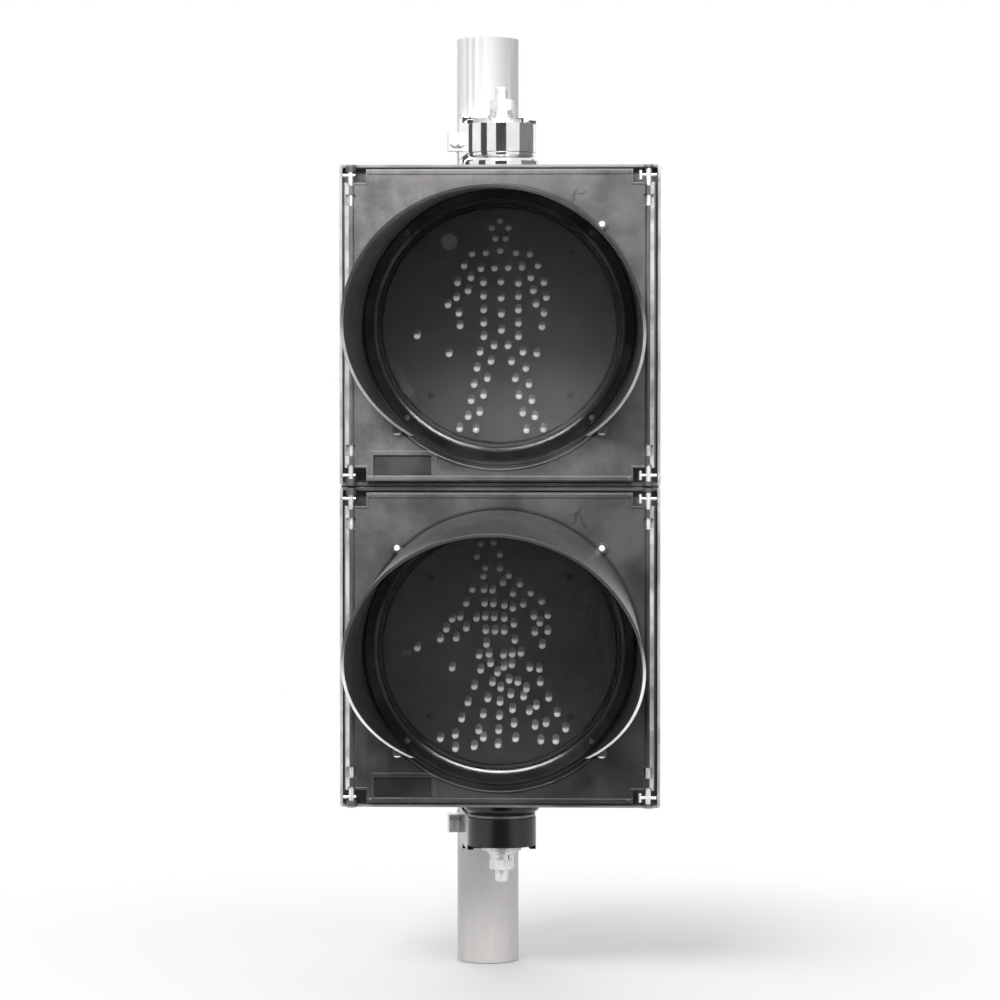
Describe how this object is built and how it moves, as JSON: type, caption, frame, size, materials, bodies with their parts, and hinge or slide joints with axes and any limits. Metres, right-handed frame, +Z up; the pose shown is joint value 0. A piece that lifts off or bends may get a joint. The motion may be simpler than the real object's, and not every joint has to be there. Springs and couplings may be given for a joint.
{
  "type": "pedestrian traffic signal",
  "caption": "Pedestrian signal head with LED figures behind clear lenses, cowl visors and hinged doors, held by bracket arms and band clamps on a length of pole.",
  "frame": {"origin": "centre of the pole's lower end", "axes": "+Z up along the pole; the signal faces -Y; +X is to the right seen from the front"},
  "size_m": [0.24, 0.3736, 0.725],
  "materials": {
    "pole_paint": "worn light grey paint",
    "galvanised_steel": "galvanised, dull",
    "black_paint": "black gloss paint",
    "zinc_plate": "bright zinc plating",
    "polished_alloy": "polished",
    "black_gloss": "glossy",
    "housing_plastic": "satin, weathered",
    "door_plastic": "satin, faded",
    "visor_plastic": "matte black",
    "seal_rubber": "matte",
    "clear_lens": "clear polycarbonate",
    "module_plastic": "satin",
    "board_black": "black solder resist",
    "board_green": "solder resist",
    "led_epoxy": "clear epoxy over silvery chips",
    "vent_grey": "matte",
    "cream_plastic": "satin"
  },
  "bodies": {
    "mast_and_housings": {"pole": "pole_paint", "top_bracket": "polished_alloy", "bottom_bracket": "black_paint", "top_band": "zinc_plate", "bottom_band": "zinc_plate", "top_band_screw": "zinc_plate", "bottom_band_screw": "zinc_plate", "top_bolt": "zinc_plate", "bottom_bolt": "zinc_plate", "top_nut_stack": "zinc_plate", "bottom_nut_stack": "zinc_plate", "top_inner_plate": "galvanised_steel", "bottom_inner_plate": "galvanised_steel", "top_hub_ring": "polished_alloy", "bottom_hub_ring": "black_gloss", "top_toothed_disc": "polished_alloy", "bottom_toothed_disc": "polished_alloy", "housing_upper": "housing_plastic", "housing_lower": "housing_plastic", "section_gasket": "seal_rubber", "coupling_plates": "galvanised_steel", "coupling_bolts": "zinc_plate", "door_gasket_upper": "seal_rubber", "door_gasket_lower": "seal_rubber", "terminal_block": "cream_plastic"},
    "door_upper_leaf": {"door_upper": "door_plastic", "visor_upper": "visor_plastic", "visor_screws_upper": "zinc_plate", "lens_upper": "clear_lens", "lens_gasket_upper": "seal_rubber", "lens_ring_upper": "door_plastic", "lens_ring_screws_upper": "zinc_plate", "led_board_upper": "board_black", "leds_upper": "led_epoxy", "board_screws_upper": "board_black", "module_shell_upper": "module_plastic", "driver_board_upper": "board_green", "cable_gland_upper": "module_plastic", "vent_disc_upper": "vent_grey"},
    "door_lower_leaf": {"door_lower": "door_plastic", "visor_lower": "visor_plastic", "visor_screws_lower": "zinc_plate", "lens_lower": "clear_lens", "lens_gasket_lower": "seal_rubber", "lens_ring_lower": "door_plastic", "lens_ring_screws_lower": "zinc_plate", "led_board_lower": "board_black", "leds_lower": "led_epoxy", "board_screws_lower": "board_black", "module_shell_lower": "module_plastic", "driver_board_lower": "board_green", "cable_gland_lower": "module_plastic"},
    "hinge_pin_upper_top_body": {"hinge_pin_upper_top": "zinc_plate"},
    "hinge_pin_upper_bottom_body": {"hinge_pin_upper_bottom": "zinc_plate"},
    "hinge_pin_lower_top_body": {"hinge_pin_lower_top": "zinc_plate"},
    "hinge_pin_lower_bottom_body": {"hinge_pin_lower_bottom": "zinc_plate"},
    "lock_pin_upper_top_body": {"lock_pin_upper_top": "zinc_plate"},
    "lock_pin_upper_bottom_body": {"lock_pin_upper_bottom": "zinc_plate"},
    "lock_pin_lower_top_body": {"lock_pin_lower_top": "zinc_plate"},
    "lock_pin_lower_bottom_body": {"lock_pin_lower_bottom": "zinc_plate"}
  },
  "joints": [
    {"name": "door_upper_hinge", "type": "hinge", "parent": "mast_and_housings", "child": "door_upper_leaf", "pos_m": [-0.0968, -0.14911, 0.4975], "axis": [0, 0, -1], "range_deg": [0, 110]},
    {"name": "door_lower_hinge", "type": "hinge", "parent": "mast_and_housings", "child": "door_lower_leaf", "pos_m": [-0.0968, -0.14911, 0.2565], "axis": [0, 0, -1], "range_deg": [0, 110]},
    {"name": "hinge_pin_upper_top_slide", "type": "slide", "parent": "door_upper_leaf", "child": "hinge_pin_upper_top_body", "axis": [0, 0, 1], "range_m": [-0.0043, 0]},
    {"name": "hinge_pin_upper_bottom_slide", "type": "slide", "parent": "door_upper_leaf", "child": "hinge_pin_upper_bottom_body", "axis": [0, 0, -1], "range_m": [-0.0043, 0]},
    {"name": "hinge_pin_lower_top_slide", "type": "slide", "parent": "door_lower_leaf", "child": "hinge_pin_lower_top_body", "axis": [0, 0, 1], "range_m": [-0.0043, 0]},
    {"name": "hinge_pin_lower_bottom_slide", "type": "slide", "parent": "door_lower_leaf", "child": "hinge_pin_lower_bottom_body", "axis": [0, 0, -1], "range_m": [-0.0043, 0]},
    {"name": "lock_pin_upper_top_slide", "type": "slide", "parent": "door_upper_leaf", "child": "lock_pin_upper_top_body", "axis": [0, 0, 1], "range_m": [-0.0018, 0.0026]},
    {"name": "lock_pin_upper_bottom_slide", "type": "slide", "parent": "door_upper_leaf", "child": "lock_pin_upper_bottom_body", "axis": [0, 0, -1], "range_m": [-0.0018, 0.0026]},
    {"name": "lock_pin_lower_top_slide", "type": "slide", "parent": "door_lower_leaf", "child": "lock_pin_lower_top_body", "axis": [0, 0, 1], "range_m": [-0.0018, 0.0026]},
    {"name": "lock_pin_lower_bottom_slide", "type": "slide", "parent": "door_lower_leaf", "child": "lock_pin_lower_bottom_body", "axis": [0, 0, -1], "range_m": [-0.0018, 0.0026]}
  ]
}
